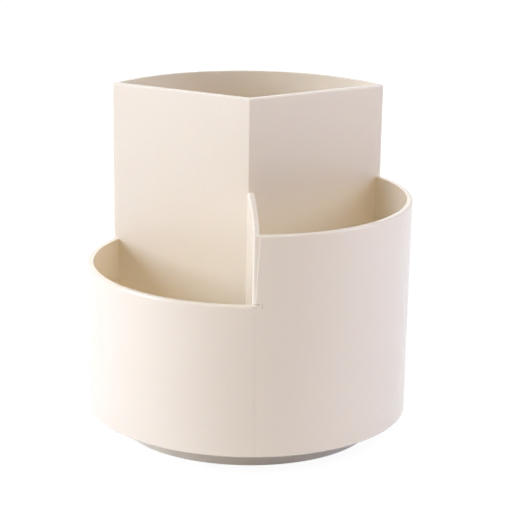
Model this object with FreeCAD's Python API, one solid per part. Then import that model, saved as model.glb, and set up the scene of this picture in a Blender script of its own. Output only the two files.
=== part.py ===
import FreeCAD, Part
import math
import os

from FreeCAD import Vector

# A rotating desk organizer: one moulded cup with three open compartments of three heights, turning on a
# ring of balls over a low round base.
# Millimetres, +Z up. The origin is the centre of the underside, on the desk. The front divider points to
# -Y and the tall compartment is at the back, towards +Y.

# ---- Cup, outside ----
cup_radius = 60.0            # outside radius that the drafted wall would have at desk level
cup_draft = 0.010            # growth of the outside radius per millimetre of height
cup_bottom = 8.0             # height of the cup's lower edge
low_height = 64.5            # rim of the low compartment
medium_height = 90.0         # rim of the medium compartment and top of the front divider
tall_height = 126.0          # rim of the tall compartment

# ---- Cup, walls ----
wall = 2.0                   # outer wall at the tall rim
wall_growth = 0.002          # extra thickness of the outer wall per millimetre below that rim
tall_wall = 2.0              # the tall compartment's two flat front walls, at their rim
tall_opening = 120.0         # angle between those two walls, in degrees
tall_set_back_left = 1.3     # left front face behind the plane through the axis, at the rim
tall_set_back_right = 1.6    # right front face behind the plane through the axis, at the rim
divider_wall = 2.1           # front divider at its top
divider_left = 0.5           # divider's left face at its two ends, left of the axis plane, at its top
divider_bow = 0.5            # how far the divider bows towards the medium compartment
inner_draft = 0.004          # lean of each face of the inner walls per millimetre of height

# ---- Cup, edges ----
lip_round = 0.7              # outer edges of the rims and upright outside corners
lip_bands = 2                # flat bands that make up the round along the round wall's rims
divider_edge_round = 0.6     # top left edge of the divider
pocket_round = 1.2           # upright inside corners beside the axis
pocket_bevel = 0.4           # upright inside corners at the outer wall
pocket_floor_bevel = 1.0     # inside edge between the outer wall and the floor
bottom_bevel = 0.5           # cup's lower outer edge

# ---- Step beside the low rim: the divider's outer end is a shallow flat that narrows downwards ----
flat_width_top = 2.4
flat_width_foot = 1.0
flat_depth_left = 0.35       # below the round wall, at the divider's left face
flat_depth_right = 0.2       # below the round wall, at the flat's right edge
flat_shoulder = 0.2          # width of the slanted shoulder on the right
flat_corner = 0.6            # bevel between the flat and the divider's left face

# ---- Cup, floor and underside ----
floor_top = 22.0
floor_thickness = 2.0
hub_radius = 6.4
hub_bottom = 9.0
post_width = 6.4             # square posts for the turntable plate's screws
under_rib_wall = 1.6
under_rib_count = 8
under_rib_gap = 0.6          # ribs end this far above the turntable plate

# ---- Ball ring ----
ball_radius = 1.5
ball_count = 12
ball_sides = 8               # each ball is faceted, this many sides around
ball_bands = 4               # and this many from pole to pole
ball_pitch_radius = 36.0
groove_depth = 1.2           # 90-degree groove in the base's deck
race_clearance = 0.1         # between a ball and what it runs on
cage_thickness = 1.0
cage_width = 6.0
cage_clearance = 0.15        # around each ball in its window

# ---- Turntable plate ----
plate_radius = 43.0
plate_thickness = 2.0
plate_hub_clearance = 0.2
screw_circle_radius = 24.0
screw_count = 4
screw_start_angle = 45.0

# ---- Self-tapping hexagon-head screws of the plate ----
screw_across_flats = 4.5
screw_head_height = 1.6
screw_radius = 1.25
screw_length = 8.0
screw_hole_clearance = 0.2
screw_pilot_clearance = 0.05

# ---- Base ----
base_radius = 47.65
base_bottom = 0.3
base_top = 7.2
base_wall = 2.0
base_deck = 2.2
base_hub_radius = 8.0
base_hub_top = 8.6
base_rib_wall = 1.4
base_rib_count = 8
base_rib_bottom = 2.4

# ---- Pivot ----
pivot_radius = 3.0
pivot_clearance = 0.08
pivot_head_radius = 4.8
pivot_head_height = 2.0
pivot_thread_radius = 1.95
pivot_thread_length = 8.0
pivot_thread_clearance = 0.05
washer_radius = 5.6
washer_thickness = 0.5
washer_gap = 0.15            # play above and below the washer
hex_across_flats = 4.0
hex_depth = 1.2

# ---- Anti-slip pads ----
pad_radius = 5.5
pad_thickness = 1.4
pad_count = 4
pad_circle_radius = 36.0
pad_start_angle = 22.5
pad_seat_margin = 1.0        # how far each seat reaches past its pad

over = 4.0                   # how far tools run past what they cut
near = 0.01                  # how close an edge is to a surface that it lies on
close = 0.5                  # how close an edge's middle is to a place that it passes
block_radius = cup_radius + cup_draft * tall_height + over
arm = 1.5 * block_radius     # length of the tools for the flat walls
up = Vector(0, 0, 1)


# ---------------------------------------------------------------- helpers
def drum(bottom, top, radius):
    return Part.makeCylinder(radius, top - bottom, Vector(0, 0, bottom))


def tube(bottom, top, inner_radius, outer_radius):
    return drum(bottom, top, outer_radius).cut(drum(bottom, top, inner_radius))


def post(bottom, top, radius, distance):
    """Upright cylinder on the +X side, this far from the axis."""
    return Part.makeCylinder(radius, top - bottom, Vector(distance, 0, bottom))


def rib(bottom, top, width, inner_end, outer_end):
    """Upright plate along +X, centred on that direction."""
    return Part.makeBox(outer_end - inner_end, width, top - bottom, Vector(inner_end, -width / 2, bottom))


def outline(points):
    return Part.makePolygon(points + points[:1])


def turned(points):
    """Solid of revolution from (radius, height) points, with its seam at the back."""
    section = Part.Face(outline([Vector(0, radius, z) for radius, z in points]))
    return section.revolve(Vector(), up, 360)


def faceted_solid(rings):
    """Solid with flat faces through polygons of as many points, one above the other."""
    loops = [rings[0][::-1], rings[-1]]
    for lower, upper in zip(rings, rings[1:]):
        for i in range(len(lower)):
            j = (i + 1) % len(lower)
            loops.append([lower[i], lower[j], upper[j], upper[i]])
    return Part.Solid(Part.Shell([Part.Face(outline(loop)) for loop in loops]))


def regular_polygon(sides, radius, z):
    angles = [2 * math.pi * i / sides for i in range(sides)]
    return [Vector(radius * math.cos(angle), radius * math.sin(angle), z) for angle in angles]


def hexagon_prism(bottom, top, across_flats):
    corners = regular_polygon(6, across_flats / math.sqrt(3), bottom)
    return Part.Face(outline(corners)).extrude(up * (top - bottom))


def turned_to(shape, angle):
    copy = shape.copy()
    copy.rotate(Vector(), up, angle)
    return copy


def around(shape, count, start_angle=0.0):
    """Copies of a shape at equal angles about the axis."""
    return [turned_to(shape, start_angle + i * 360.0 / count) for i in range(count)]


def only_solid(shape):
    return shape.removeSplitter().Solids[0]


def bearing(solid):
    """Angle of a solid's centre about the axis, in degrees from -X anticlockwise."""
    centre = solid.CenterOfMass
    return (math.degrees(math.atan2(centre.y, centre.x)) + 180) % 360


def middle(edge):
    return edge.valueAt((edge.FirstParameter + edge.LastParameter) / 2)


def from_axis(point):
    return math.hypot(point.x, point.y)


def edge_points(edge):
    return [vertex.Point for vertex in edge.Vertexes] + [middle(edge)]


def level_at(edge, height):
    return all(abs(point.z - height) < near for point in edge_points(edge))


def on_surface(edge, radius_at):
    return all(abs(from_axis(point) - radius_at(point.z)) < near for point in edge_points(edge))


def upright(edge):
    ends = edge.Vertexes
    return len(ends) == 2 and abs(ends[0].Z - ends[1].Z) > over


# ---------------------------------------------------------------- cup
half_opening = math.radians(tall_opening / 2)


def cup_outside(z):
    return cup_radius + cup_draft * z


def cup_inside(z):
    return cup_outside(z) - wall - wall_growth * (tall_height - z)


def tall_corner(left_offset, right_offset, z):
    """Where two lines meet that lie this far behind the planes through the axis."""
    x = (left_offset - right_offset) / (2 * math.cos(half_opening))
    y = (left_offset + right_offset) / (2 * math.sin(half_opening))
    return Vector(x, y, z)


def tall_walls_section(z):
    lean = inner_draft * (tall_height - z)
    front = tall_corner(tall_set_back_left - lean, tall_set_back_right - lean, z)
    behind = tall_wall + lean
    back = tall_corner(tall_set_back_left + behind, tall_set_back_right + behind, z)
    to_right = Vector(math.sin(half_opening), math.cos(half_opening), 0) * arm
    to_left = Vector(-to_right.x, to_right.y, 0)
    return [front, front + to_right, back + to_right, back, back + to_left, front + to_left]


def make_tall_walls():
    """The V of the tall compartment's two flat walls, thinner towards the top."""
    return faceted_solid([tall_walls_section(cup_bottom - over), tall_walls_section(tall_height + over)])


def make_front_divider():
    """Bowed wall: an upright tapered section turned about a far axis on its left."""
    inner_end = tall_corner(tall_set_back_left, tall_set_back_right, 0).y
    outer_end = -cup_outside(medium_height)
    half_chord = (inner_end - outer_end) / 2
    mid_y = (inner_end + outer_end) / 2
    bow_radius = (half_chord ** 2 + divider_bow ** 2) / (2 * divider_bow)
    left = divider_bow - divider_left
    right = left + divider_wall
    bottom = cup_bottom - over
    lean = inner_draft * (medium_height - bottom)
    section = [Vector(left - lean, mid_y, bottom), Vector(right + lean, mid_y, bottom),
               Vector(right, mid_y, medium_height), Vector(left, mid_y, medium_height)]
    profile = Part.Face(outline(section))
    outward = math.degrees(math.asin((block_radius + over + mid_y) / bow_radius))
    into_tall_walls = (tall_wall + divider_wall / math.tan(half_opening)) / 2
    inward = math.degrees(math.asin((half_chord + into_tall_walls) / bow_radius))
    far_axis = Vector(left - bow_radius, mid_y, 0)
    profile.rotate(far_axis, up, -outward)
    return profile.revolve(far_axis, up, outward + inward)


def spaces(top):
    """The spaces between the inner walls from the floor up: low first, tall last."""
    block = drum(floor_top, top, block_radius)
    return sorted(block.cut([make_tall_walls(), make_front_divider()]).Solids, key=bearing)


def before_tall_walls(bottom, top):
    """All that lies in front of the tall compartment's walls between two heights."""
    block = drum(bottom, top, block_radius)
    return sorted(block.cut(make_tall_walls()).Solids, key=bearing)[0]


def round_near_axis(space):
    """Round a compartment's upright corner beside the axis."""
    corners = [edge for edge in space.Edges if upright(edge) and from_axis(middle(edge)) < block_radius / 4]
    return space.makeFillet(pocket_round, corners)


def make_pocket(space, top):
    """A compartment's hollow, with a bevel up its outer corners and round its floor."""
    bevel_top = floor_top + pocket_floor_bevel
    bowl = turned([(0, floor_top), (cup_inside(bevel_top) - pocket_floor_bevel, floor_top),
                   (cup_inside(bevel_top), bevel_top), (cup_inside(top), top), (0, top)])
    hollow = bowl.common(space)
    corners = [edge for edge in hollow.Edges
               if upright(edge) and on_surface(edge, cup_inside) and abs(middle(edge).x) > near]
    return hollow.makeChamfer(pocket_bevel, corners)


def flat_section(z, width):
    """Plan of the tool that cuts the flat on the step, at one height."""
    left = -divider_left
    right = left + width
    radius = cup_outside(z)
    outside = -(radius + over)
    return [Vector(left - over, outside, z), Vector(right + flat_shoulder, outside, z),
            Vector(right + flat_shoulder, -radius, z), Vector(right, flat_depth_right - radius, z),
            Vector(left + flat_corner, flat_depth_left - radius, z),
            Vector(left - over, flat_depth_left - radius + flat_corner + over, z)]


def make_step_flat():
    sections = [flat_section(low_height, flat_width_foot), flat_section(medium_height, flat_width_top)]
    return Part.makeLoft([outline(points) for points in sections], True, True)


def lip_steps():
    """How far the round of an edge lies inside the wall and below the rim, from wall to rim."""
    angles = [math.pi / 2 * i / lip_bands for i in range(lip_bands + 1)]
    return [(lip_round * (1 - math.cos(angle)), lip_round * (1 - math.sin(angle))) for angle in angles]


def lip_cutter(rim):
    """Ring that takes the outer edge off a rim."""
    radius = cup_outside(rim)
    edge = [(radius - inset, rim - drop) for inset, drop in lip_steps()]
    above = [(radius - lip_round, rim + over), (radius + over, rim + over)]
    return turned([(radius + over, rim - lip_round)] + edge + above)


def on_flat_front(edge):
    """Whether an edge lies along the two flat front faces, at the tall rim."""
    here = middle(edge)
    set_back = tall_set_back_left if here.x < 0 else tall_set_back_right
    behind = here.y * math.sin(half_opening) - abs(here.x) * math.cos(half_opening)
    return abs(behind - set_back) < close


def is_divider_top_left(edge):
    left_face = divider_bow - divider_left
    return level_at(edge, medium_height) and abs(middle(edge).x - left_face) < close


def is_outer_corner(edge):
    """The flat walls' upright corners and their front edges at the tall rim."""
    here = middle(edge)
    if on_surface(edge, cup_outside):
        return upright(edge) and abs(here.x) > block_radius / 2
    if level_at(edge, tall_height):
        return on_flat_front(edge)
    apex = tall_corner(tall_set_back_left, tall_set_back_right, 0)
    return upright(edge) and here.z > medium_height and from_axis(here - apex) < close


def round_edges(shape, radius, wanted):
    return shape.makeFillet(radius, [edge for edge in shape.Edges if wanted(edge)])


def make_blank():
    """The cup's drafted outside, filled, up to the tall rim."""
    bevel_top = cup_bottom + bottom_bevel
    return turned([(0, cup_bottom), (cup_outside(cup_bottom) - bottom_bevel, cup_bottom),
                   (cup_outside(bevel_top), bevel_top), (cup_outside(tall_height), tall_height),
                   (0, tall_height)])


def make_cup_shell():
    """Outer wall with its three rim heights, inner walls and the three hollows."""
    low_space, medium_space = [round_near_axis(space) for space in spaces(medium_height)[:2]]
    tall_space = round_near_axis(spaces(tall_height)[-1])
    low_hollow = low_space.common(drum(floor_top, low_height, block_radius))
    hollows = [make_pocket(low_hollow, low_height), make_pocket(medium_space, medium_height),
               make_pocket(tall_space, tall_height)]

    above_low = low_space.common(drum(low_height, medium_height, block_radius))
    above_medium = before_tall_walls(medium_height, tall_height + over)
    open_air = above_low.fuse(above_medium).removeSplitter()
    cup = only_solid(make_blank().cut(open_air).cut(hollows))
    cup = round_edges(cup, divider_edge_round, is_divider_top_left)
    cup = round_edges(cup, lip_round, is_outer_corner)

    lips = [lip_cutter(low_height).common(low_space),
            lip_cutter(medium_height).common(before_tall_walls(low_height, tall_height)),
            lip_cutter(tall_height)]
    return cup.cut(lips + [make_step_flat()])


floor_underside = floor_top - floor_thickness
ball_height = base_top - groove_depth + math.sqrt(2) * (ball_radius + race_clearance)
plate_bottom = ball_height + ball_radius + race_clearance
plate_top = plate_bottom + plate_thickness


def make_underside_hollow():
    """The open space under the cup's floors, less its hub, screw posts and ribs."""
    hollow = drum(cup_bottom, floor_underside, cup_inside(cup_bottom))
    hub = drum(hub_bottom, floor_underside, hub_radius)
    screw_post = rib(plate_top, floor_underside, post_width,
                     screw_circle_radius - post_width / 2, screw_circle_radius + post_width / 2)
    under_rib = rib(plate_top + under_rib_gap, floor_underside, under_rib_wall, 0, block_radius)
    posts = around(screw_post, screw_count, screw_start_angle)
    return hollow.cut([hub] + posts + around(under_rib, under_rib_count))


def make_organizer_body():
    cup = make_cup_shell().cut(make_underside_hollow())
    pilot_top = plate_bottom + screw_length + screw_pilot_clearance
    pilot = post(plate_top, pilot_top, screw_radius + screw_pilot_clearance, screw_circle_radius)
    pivot_hole = drum(hub_bottom, hub_bottom + pivot_thread_length + pivot_thread_clearance,
                      pivot_thread_radius + pivot_thread_clearance)
    return only_solid(cup.cut(around(pilot, screw_count, screw_start_angle) + [pivot_hole]))


# ---------------------------------------------------------------- turntable
def make_turntable_plate():
    """Disc under the cup; the balls run on its lower face."""
    disc = tube(plate_bottom, plate_top, hub_radius + plate_hub_clearance, plate_radius)
    screw_hole = post(plate_bottom, plate_top, screw_radius + screw_hole_clearance, screw_circle_radius)
    return only_solid(disc.cut(around(screw_hole, screw_count, screw_start_angle)))


def make_plate_screw():
    head = hexagon_prism(plate_bottom - screw_head_height, plate_bottom, screw_across_flats)
    head.translate(Vector(screw_circle_radius, 0, 0))
    shank = post(plate_bottom, plate_bottom + screw_length, screw_radius, screw_circle_radius)
    return only_solid(head.fuse(shank))


def make_ball_cage():
    """Flat ring with a square window for each ball."""
    half = cage_thickness / 2
    ring = tube(ball_height - half, ball_height + half,
                ball_pitch_radius - cage_width / 2, ball_pitch_radius + cage_width / 2)
    reach = ball_radius + cage_clearance
    window = rib(ball_height - half, ball_height + half, 2 * reach,
                 ball_pitch_radius - reach, ball_pitch_radius + reach)
    return only_solid(ring.cut(around(window, ball_count)))


def make_ball():
    rings = []
    for i in range(ball_bands + 1):
        angle = math.pi * (i + 0.5) / (ball_bands + 1)
        width, drop = ball_radius * math.sin(angle), ball_radius * math.cos(angle)
        rings.append(regular_polygon(ball_sides, width, -drop))
    ball = faceted_solid(rings)
    ball.translate(Vector(ball_pitch_radius, 0, ball_height))
    return ball


# ---------------------------------------------------------------- base
def make_base_shell():
    """Low drum, open below: skirt, deck with the balls' groove, sleeve, ribs and pad seats."""
    deck_underside = base_top - base_deck
    hollow = drum(base_bottom, deck_underside, base_radius - base_wall)
    stiffener = rib(base_rib_bottom, deck_underside, base_rib_wall, base_hub_radius, base_radius)
    seat = post(pad_thickness, deck_underside, pad_radius + pad_seat_margin, pad_circle_radius)
    hollow = hollow.cut(around(stiffener, base_rib_count) + around(seat, pad_count, pad_start_angle))
    sleeve = drum(base_top, base_hub_top, base_hub_radius)
    bore = drum(base_bottom, base_hub_top, pivot_radius + pivot_clearance)
    groove = turned([(ball_pitch_radius, base_top - groove_depth),
                     (ball_pitch_radius + groove_depth, base_top),
                     (ball_pitch_radius - groove_depth, base_top)])
    return only_solid(drum(base_bottom, base_top, base_radius).fuse(sleeve).cut([hollow, bore, groove]))


washer_top = base_top - base_deck - washer_gap
head_top = washer_top - washer_thickness - washer_gap


def make_pivot_bolt():
    """Shoulder bolt: head below the base's deck, shank through its sleeve, thread into the cup's hub."""
    head_bottom = head_top - pivot_head_height
    head = drum(head_bottom, head_top, pivot_head_radius)
    shank = drum(head_top, hub_bottom, pivot_radius)
    thread = drum(hub_bottom, hub_bottom + pivot_thread_length, pivot_thread_radius)
    socket = hexagon_prism(head_bottom, head_bottom + hex_depth, hex_across_flats)
    return only_solid(head.fuse([shank, thread]).cut(socket))


def make_pivot_washer():
    return tube(washer_top - washer_thickness, washer_top, pivot_radius + pivot_clearance, washer_radius)


def make_foot_pad():
    return post(0, pad_thickness, pad_radius, pad_circle_radius)


# ---------------------------------------------------------------- all pieces
def make_pieces():
    pieces = {
        "organizer_body": make_organizer_body(),
        "turntable_plate": make_turntable_plate(),
        "ball_cage": make_ball_cage(),
        "base_shell": make_base_shell(),
        "pivot_bolt": make_pivot_bolt(),
        "pivot_washer": make_pivot_washer(),
    }
    for i, screw in enumerate(around(make_plate_screw(), screw_count, screw_start_angle)):
        pieces[f"plate_screw_{i + 1}"] = screw
    for i, ball in enumerate(around(make_ball(), ball_count)):
        pieces[f"ball_{i + 1:02d}"] = ball
    for i, pad in enumerate(around(make_foot_pad(), pad_count, pad_start_angle)):
        pieces[f"foot_pad_{i + 1}"] = pad
    return pieces


os.makedirs("parts", exist_ok=True)
for name, shape in make_pieces().items():
    if not shape.isValid() or len(shape.Solids) != 1:
        raise ValueError(f"{name} is not one valid solid")
    shape.exportStep(f"parts/{name}.step")
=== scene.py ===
import bpy
import math
from mathutils import Matrix, Vector

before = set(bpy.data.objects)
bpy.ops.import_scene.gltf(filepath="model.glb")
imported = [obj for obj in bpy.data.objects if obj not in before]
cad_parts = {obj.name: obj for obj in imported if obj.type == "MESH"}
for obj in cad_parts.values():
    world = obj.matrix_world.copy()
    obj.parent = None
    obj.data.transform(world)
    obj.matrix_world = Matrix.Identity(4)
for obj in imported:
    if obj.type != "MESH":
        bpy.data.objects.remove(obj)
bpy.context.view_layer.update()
scene = bpy.context.scene

MM = 0.001

# ---------------------------------------------------------------- camera
CUP_RADIUS = 0.060                # metres at the desk; the camera's place is given in these radii
IMAGE_SIZE = 512                  # pixels each way
FOCAL_PIXELS = 2084.09            # focal length in pixels
SENSOR_WIDTH = 36.0               # millimetres
NEAREST, FARTHEST = 0.05, 20.0    # what the camera sees, in metres from it
CAMERA_DISTANCE = 13.1046         # in cup radii
CAMERA_ELEVATION = math.radians(15.393)
CAMERA_ROLL = math.radians(0.803)
CAMERA_ASIDE = 0.0446             # sideways from the axis, in cup radii
AIM_HEIGHT = 1.1024               # of the aimed point on the axis, in cup radii
OBJECT_YAW = math.radians(2.022)  # the organizer's turn, anticlockwise from above, as the camera sees it


def make_camera():
    elevation = CAMERA_ELEVATION
    place = Vector((CAMERA_ASIDE, -CAMERA_DISTANCE * math.cos(elevation),
                    AIM_HEIGHT + CAMERA_DISTANCE * math.sin(elevation))) * CUP_RADIUS
    forward = Vector((0.0, math.cos(elevation), -math.sin(elevation)))
    level_right = Vector((1.0, 0.0, 0.0))
    level_up = level_right.cross(forward)
    right = level_right * math.cos(CAMERA_ROLL) + level_up * math.sin(CAMERA_ROLL)
    above = -level_right * math.sin(CAMERA_ROLL) + level_up * math.cos(CAMERA_ROLL)
    rotation = Matrix((right, above, -forward)).transposed().to_4x4()
    data = bpy.data.cameras.new("Camera")
    data.sensor_width = SENSOR_WIDTH
    data.lens = FOCAL_PIXELS / IMAGE_SIZE * SENSOR_WIDTH
    data.clip_start = NEAREST
    data.clip_end = FARTHEST
    camera = bpy.data.objects.new("Camera", data)
    camera.matrix_world = Matrix.Rotation(-OBJECT_YAW, 4, "Z") @ Matrix.Translation(place) @ rotation
    scene.collection.objects.link(camera)
    scene.camera = camera


# ---------------------------------------------------------------- node helpers
# Each noise: features per metre, scale of each axis, detail, roughness.
# A scale under 1 draws the features out along that axis, and one above 1 presses them together.
NOISES = {
    "flow": (26.0, (1.0, 1.0, 0.22), 3.0, 0.5),        # drift of the plastic's colour
    "gloss": (48.0, (1.0, 1.0, 0.3), 3.0, 0.5),        # drift of the plastic's roughness
    "waves": (70.0, (1.0, 1.0, 0.12), 2.0, 0.5),       # long waves in the plastic's skin
    "peel": (1300.0, (1.0, 1.0, 1.0), 2.0, 0.45),      # orange peel
    "sink": (160.0, (0.2, 0.2, 1.0), 2.0, 0.5),        # unevenness of the sink mark
    "tarnish": (300.0, (1.0, 1.0, 1.0), 3.0, 0.5),     # dull places on steel
    "turning": (900.0, (1.0, 1.0, 12.0), 2.0, 0.5),    # turning marks on steel
    "speckle": (900.0, (1.0, 1.0, 1.0), 3.0, 0.5)}     # drift of the foam's colour
NOISE_LOW, NOISE_HIGH = 0.25, 0.75                     # most of a noise lies between these
MIX_FACTOR, MIX_FIRST, MIX_SECOND, MIX_RESULT = 0, 6, 7, 2    # sockets of a Mix node for colours


class Nodes:
    """Short calls for building the node tree of one material, or of the world."""

    def __init__(self, name, world=False):
        self.owner = (bpy.data.worlds if world else bpy.data.materials).new(name)
        self.owner.use_nodes = True
        self.tree = self.owner.node_tree
        self.tree.nodes.clear()
        self.output = self.add("ShaderNodeOutputWorld" if world else "ShaderNodeOutputMaterial")

    def add(self, kind, inputs=None, **settings):
        node = self.tree.nodes.new(kind)
        for key, value in settings.items():
            setattr(node, key, value)
        for key, value in (inputs or {}).items():
            self.put(node, key, value)
        return node

    def put(self, node, key, value):
        if isinstance(value, bpy.types.NodeSocket):
            self.tree.links.new(value, node.inputs[key])
        else:
            node.inputs[key].default_value = value

    def math(self, operation, first, second=0.0):
        return self.add("ShaderNodeMath", {0: first, 1: second}, operation=operation).outputs[0]

    def spread(self, noise, low, high):
        """Noise about 0.5 turned into a value that mostly lies between low and high, and is never cut off."""
        node = self.add("ShaderNodeMapRange", {
            "Value": noise, "From Min": NOISE_LOW, "From Max": NOISE_HIGH,
            "To Min": low, "To Max": high}, clamp=False)
        return node.outputs["Result"]

    def band(self, value, centre, half_width, softness):
        """1 within the half width of the centre, and 0 beyond the softness around it."""
        away = self.math("ABSOLUTE", self.math("SUBTRACT", value, centre))
        node = self.add("ShaderNodeMapRange", {
            "Value": away, "From Min": half_width, "From Max": half_width + softness,
            "To Min": 1.0, "To Max": 0.0}, interpolation_type="SMOOTHSTEP")
        return node.outputs["Result"]

    def mix(self, factor, first, second):
        node = self.add("ShaderNodeMix", data_type="RGBA", clamp_factor=False)
        self.put(node, MIX_FACTOR, factor)
        self.put(node, MIX_FIRST, first)
        self.put(node, MIX_SECOND, second)
        return node.outputs[MIX_RESULT]

    def place(self):
        return self.add("ShaderNodeTexCoord").outputs["Object"]

    def axes(self):
        return self.add("ShaderNodeSeparateXYZ", {0: self.place()}).outputs

    def noise(self, name):
        scale, stretch, detail, roughness = NOISES[name]
        where = self.add("ShaderNodeMapping", {"Vector": self.place(), "Scale": stretch}).outputs["Vector"]
        node = self.add("ShaderNodeTexNoise", {
            "Vector": where, "Scale": scale, "Detail": detail, "Roughness": roughness})
        return node.outputs["Fac"]

    def bump(self, height, strength=1.0, normal=None):
        """Normal of a skin of this height in metres, which lies on a surface that has the given normal."""
        node = self.add("ShaderNodeBump", {"Height": height, "Distance": 1.0, "Strength": strength})
        if normal is not None:
            self.put(node, "Normal", normal)
        return node.outputs["Normal"]

    def backdrop(self, lighting, shown):
        """The shown shader for the camera and in gloss and glass, and the lighting one for all other rays."""
        rays = self.add("ShaderNodeLightPath").outputs
        seen = self.math("MAXIMUM", rays["Is Camera Ray"], rays["Is Glossy Ray"])
        seen = self.math("MAXIMUM", seen, rays["Is Transmission Ray"])
        return self.add("ShaderNodeMixShader", {0: seen, 1: lighting.outputs[0], 2: shown.outputs[0]})

    def finish(self, shader):
        self.tree.links.new(shader.outputs[0], self.output.inputs["Surface"])
        return self.owner


def grey(value):
    return (value, value, value, 1.0)


# ---------------------------------------------------------------- moulded plastic
CREAM = (0.942, 0.855, 0.685, 1.0)
CREAM_DEEP = (0.940, 0.850, 0.677, 1.0)
ACETAL = (0.84, 0.84, 0.82, 1.0)
ACETAL_DEEP = (0.80, 0.80, 0.77, 1.0)
# Dark colour of the specks and mould marks, also mixed in as painted shade on the cup's front.
DIRT_AND_PAINTED_SHADE = (0.16, 0.12, 0.09, 1.0)

# Material, colour, its deeper tone, roughness, and in millimetres the grain's depth and the edges' rounding.
# A roughness that varies across 0.274 leaves outlines in a denoised render, so each stays on one side of it.
PLASTICS = {
    "organizer_body": ("cup_plastic", CREAM, CREAM_DEEP, 0.22, 0.002, 0.12),
    "base_shell": ("base_plastic", CREAM, CREAM_DEEP, 0.34, 0.003, 0.20),
    "turntable_plate": ("inner_plastic", CREAM, CREAM_DEEP, 0.50, 0.006, 0.30),
    "ball_cage": ("cage_plastic", ACETAL, ACETAL_DEEP, 0.42, 0.004, 0.20)}
PLASTIC_ROUGHNESS = (0.92, 1.08)  # how far it varies, in parts of itself
PLASTIC_IOR = 1.49
WAVE_DEPTH = 4.0                  # of the long waves, in depths of the grain
EDGE_SAMPLES = 6
TRANSLUCENCY = {"Subsurface Weight": 0.2, "Subsurface Scale": 2.0 * MM,
                "Subsurface Radius": (1.0, 0.75, 0.45)}

# Marks that the mould left on the front of the cup, and a painted shadow at the step's foot, in millimetres:
# x, z, half width, half height, softness, strength.
MOULD_MARKS_AND_PAINTED_SHADOW = [
    (0.95, 65.12, 1.15, 0.05, 0.16, 0.42),     # painted shadow along the foot of the step's flat
    (3.06, 64.50, 0.04, 0.90, 0.17, 0.34),     # tick beside it
    (0.10, 63.95, 0.50, 0.10, 0.60, 0.07),     # faint smudge under it
    (-8.75, 33.80, 0.03, 0.03, 0.17, 0.55),    # specks in the plastic
    (48.92, 17.66, 0.03, 0.03, 0.17, 0.45)]
OUTER_WALL = 59.4                 # millimetres from the axis; the cup's outer wall lies beyond this

# The sink mark down the front, where the divider meets the outer wall, in millimetres.
SINK_X = 1.69                     # at the desk
SINK_SLANT = -0.0140              # sideways per millimetre of height
SINK_HALF_WIDTH = 1.3
SINK_DEPTH = 0.022
SINK_TOP = 63.0
SINK_FADE = 4.0                   # height over which its top fades out
SINK_UNEVEN = (0.5, 1.2)          # how far its strength varies
SINK_PAINTED_SHADE = 0.032                # how much of the dark colour goes into the painted shade on its left side
SINK_PAINTED_SHADE_LEFT = 0.7             # how far left of its middle that painted shade is


def outer_front(n):
    """1 on the cup's outer wall in front of the axis, 0 elsewhere."""
    axes = n.axes()
    level = n.add("ShaderNodeCombineXYZ", {0: axes["X"], 1: axes["Y"]}).outputs[0]
    radius = n.add("ShaderNodeVectorMath", {0: level}, operation="LENGTH").outputs["Value"]
    outer = n.math("GREATER_THAN", radius, OUTER_WALL * MM)
    front = n.math("LESS_THAN", axes["Y"], 0.0)
    return n.math("MULTIPLY", outer, front)


def mould_marks_and_painted_shadow(n):
    """How dark the mould marks, the specks and the painted shadow at the step's foot are here, from 0 to 1.
    """
    axes = n.axes()
    total = 0.0
    for x, z, half_width, half_height, softness, strength in MOULD_MARKS_AND_PAINTED_SHADOW:
        across = n.band(axes["X"], x * MM, half_width * MM, softness * MM)
        along = n.band(axes["Z"], z * MM, half_height * MM, softness * MM)
        mark = n.math("MULTIPLY", n.math("MULTIPLY", across, along), strength)
        total = n.math("MAXIMUM", total, mark)
    return n.math("MULTIPLY", total, outer_front(n))


def sink_mark(n, left=0.0):
    """About 1 in the middle of the furrow down the front, 0 at its edges; left moves it, in millimetres."""
    axes = n.axes()
    middle = n.math("ADD", n.math("MULTIPLY", axes["Z"], SINK_SLANT), (SINK_X - left) * MM)
    furrow = n.band(n.math("SUBTRACT", axes["X"], middle), 0.0, 0.0, SINK_HALF_WIDTH * MM)
    uneven = n.spread(n.noise("sink"), *SINK_UNEVEN)
    below = n.band(axes["Z"], 0.0, (SINK_TOP - SINK_FADE) * MM, SINK_FADE * MM)
    mark = n.math("MULTIPLY", n.math("MULTIPLY", furrow, uneven), below)
    return n.math("MULTIPLY", mark, outer_front(n))


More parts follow.
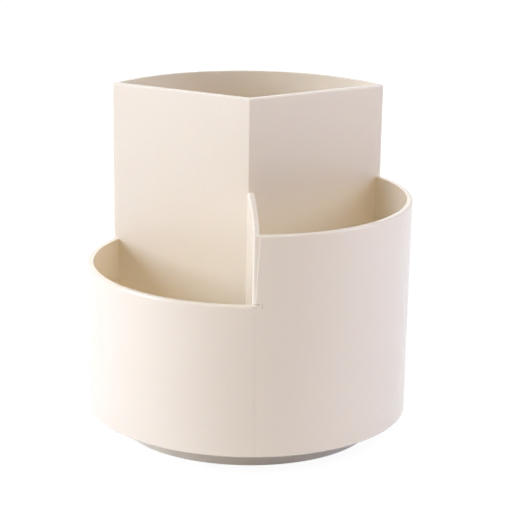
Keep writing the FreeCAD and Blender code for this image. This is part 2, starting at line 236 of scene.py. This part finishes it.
def moulded_plastic(name, colour, deep, roughness, grain_depth, edge_round, front_marks_and_painted_shade=False):
    """Moulded plastic: faint flow in the colour, gloss that varies, a fine orange-peel skin, soft edges."""
    n = Nodes(name)
    tint = n.mix(n.spread(n.noise("flow"), 0.0, 1.0), colour, deep)
    low, high = PLASTIC_ROUGHNESS
    rough = n.spread(n.noise("gloss"), roughness * low, roughness * high)
    peel = n.math("MULTIPLY", n.noise("peel"), grain_depth * MM)
    waves = n.math("MULTIPLY", n.noise("waves"), grain_depth * WAVE_DEPTH * MM)
    height = n.math("ADD", peel, waves)
    # Dark mould marks and specks, and painted shade: a shadow at the step's foot and the sink mark's darker
    # left side.
    if front_marks_and_painted_shade:
        tint = n.mix(mould_marks_and_painted_shadow(n), tint, DIRT_AND_PAINTED_SHADE)
        # Painted shade: dark colour mixed in left of the sink mark's middle, where the furrow's flank faces
        # away from the light.
        tint = n.mix(n.math("MULTIPLY", sink_mark(n, SINK_PAINTED_SHADE_LEFT), SINK_PAINTED_SHADE), tint, DIRT_AND_PAINTED_SHADE)
        height = n.math("ADD", height, n.math("MULTIPLY", sink_mark(n), -SINK_DEPTH * MM))
    soft_edges = n.add("ShaderNodeBevel", {"Radius": edge_round * MM}, samples=EDGE_SAMPLES).outputs["Normal"]
    return n.finish(n.add("ShaderNodeBsdfPrincipled", {
        "Base Color": tint, "Roughness": rough, "Normal": n.bump(height, normal=soft_edges),
        "IOR": PLASTIC_IOR, **TRANSLUCENCY}))


# ---------------------------------------------------------------- steel and foam
# Material, colour, roughness, and the turning marks' depth in millimetres.
ZINC_PLATED = ("zinc_steel", (0.62, 0.63, 0.65, 1.0), 0.37, 0.010)
POLISHED = ("polished_steel", (0.72, 0.73, 0.75, 1.0), 0.10, 0.001)
STEEL_ROUGHNESS = (0.90, 1.15)    # how far it varies, in parts of itself
TARNISHED = 0.86                  # a dull place's brightness, in parts of the colour's

FOAM = (0.30, 0.30, 0.295, 1.0)
FOAM_PALE = (0.36, 0.36, 0.355, 1.0)
FOAM_ROUGHNESS = 0.9
FOAM_SPECULAR = 0.25
CELL_SCALE = 2600.0               # cells per metre
CELL_DEPTH = 0.12                 # millimetres
CELL_STRENGTH = 0.8


def plated_steel(name, colour, roughness, mark_depth):
    """Zinc-plated or polished steel with fine turning marks."""
    n = Nodes(name)
    marks = n.noise("turning")
    dull = tuple(channel * TARNISHED for channel in colour[:3]) + (1.0,)
    low, high = STEEL_ROUGHNESS
    return n.finish(n.add("ShaderNodeBsdfPrincipled", {
        "Base Color": n.mix(n.spread(n.noise("tarnish"), 0.0, 1.0), colour, dull),
        "Metallic": 1.0, "Roughness": n.spread(marks, roughness * low, roughness * high),
        "Normal": n.bump(n.math("MULTIPLY", marks, mark_depth * MM))}))


def foam_pad(name):
    """Grey EVA foam: closed cells cut through, no shine."""
    n = Nodes(name)
    cells = n.add("ShaderNodeTexVoronoi", {"Vector": n.place(), "Scale": CELL_SCALE}).outputs["Distance"]
    return n.finish(n.add("ShaderNodeBsdfPrincipled", {
        "Base Color": n.mix(n.spread(n.noise("speckle"), 0.0, 1.0), FOAM, FOAM_PALE),
        "Roughness": FOAM_ROUGHNESS, "Specular IOR Level": FOAM_SPECULAR,
        "Normal": n.bump(n.math("MULTIPLY", cells, CELL_DEPTH * MM), CELL_STRENGTH)}))


def dress_nodes():
    """Give each CAD node its material, by its name or by what comes before its number."""
    zinc = plated_steel(*ZINC_PLATED)
    materials = {"pivot_bolt": zinc, "pivot_washer": zinc, "plate_screw": zinc,
                 "ball": plated_steel(*POLISHED), "foot_pad": foam_pad("pad_foam")}
    for family, settings in PLASTICS.items():
        materials[family] = moulded_plastic(*settings, front_marks_and_painted_shade=family == "organizer_body")
    for name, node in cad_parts.items():
        family = name if name in materials else name.rsplit("_", 1)[0]
        node.data.materials.clear()
        node.data.materials.append(materials[family])


# ---------------------------------------------------------------- stage and light
FLOOR_HALF_SIZE = 3.0             # metres
FLOOR_LEVEL = -0.1 * MM           # a hair under the pads, so that no two faces share a plane
FLOOR_LIGHTING = 0.93             # its colour for the light that it sends to the object
FLOOR_SHADED = 0.24               # the part of its shown white that takes light and shadow
FLOOR_GLOW = 0.90                 # the part that doesn't
ROOM_STRENGTH = 0.05              # of the light that the room itself sends to the object
LAMP_AIM = Vector((0.0, 0.0, 0.06))    # metres
LAMP_DISTANCE = 1.3               # metres

# Soft boxes: name, azimuth anticlockwise from +X and elevation in degrees, width and height in metres,
# watts, colour.
LAMPS = [
    ("left", 188, 24, 0.7, 0.7, 14.2, (0.73, 0.795, 1.0)),
    ("left_low", 205, 7, 0.6, 0.4, 2.2, (0.92, 0.85, 1.0)),
    ("front", 280, 40, 0.8, 0.6, 2.4, (1.0, 0.68, 0.46)),
    ("right_high", 350, 35, 0.8, 0.8, 7.7, (0.83, 0.84, 1.0)),
    ("right_low", 345, 8, 0.6, 0.6, 3.2, (0.37, 0.46, 1.0)),
    ("top", 265, 78, 0.9, 0.9, 2.8, (1.0, 1.0, 1.0)),
    ("back", 95, 32, 0.8, 0.8, 2.2, (1.0, 0.98, 0.97))]


def make_floor():
    low, high = -FLOOR_HALF_SIZE, FLOOR_HALF_SIZE
    corners = [(x, y, FLOOR_LEVEL) for x, y in ((low, low), (high, low), (high, high), (low, high))]
    mesh = bpy.data.meshes.new("floor")
    mesh.from_pydata(corners, [], [(0, 1, 2, 3)])
    floor = bpy.data.objects.new("floor", mesh)
    scene.collection.objects.link(floor)
    n = Nodes("floor_white")
    lighting = n.add("ShaderNodeBsdfDiffuse", {"Color": grey(FLOOR_LIGHTING)})
    shaded = n.add("ShaderNodeBsdfDiffuse", {"Color": grey(FLOOR_SHADED)})
    glow = n.add("ShaderNodeEmission", {"Color": grey(1.0), "Strength": FLOOR_GLOW})
    shown = n.add("ShaderNodeAddShader", {0: shaded.outputs[0], 1: glow.outputs[0]})
    floor.data.materials.append(n.finish(n.backdrop(lighting, shown)))


def make_world():
    n = Nodes("World", world=True)
    room = n.add("ShaderNodeBackground", {"Color": grey(1.0), "Strength": ROOM_STRENGTH})
    white = n.add("ShaderNodeBackground", {"Color": grey(1.0), "Strength": 1.0})
    scene.world = n.finish(n.backdrop(room, white))


def make_lamp(name, azimuth, elevation, width, height, power, colour):
    """Soft box that looks at the object."""
    a, e = math.radians(azimuth), math.radians(elevation)
    away = Vector((math.cos(a) * math.cos(e), math.sin(a) * math.cos(e), math.sin(e)))
    data = bpy.data.lights.new(name, "AREA")
    data.shape = "RECTANGLE"
    data.size = width
    data.size_y = height
    data.energy = power
    data.color = colour
    lamp = bpy.data.objects.new(name, data)
    lamp.location = LAMP_AIM + away * LAMP_DISTANCE
    lamp.rotation_mode = "QUATERNION"
    lamp.rotation_quaternion = (-away).to_track_quat("-Z", "Y")
    scene.collection.objects.link(lamp)


# ---------------------------------------------------------------- put together
make_camera()
dress_nodes()
make_floor()
make_world()
for lamp_settings in LAMPS:
    make_lamp(*lamp_settings)
scene.view_settings.view_transform = "Standard"
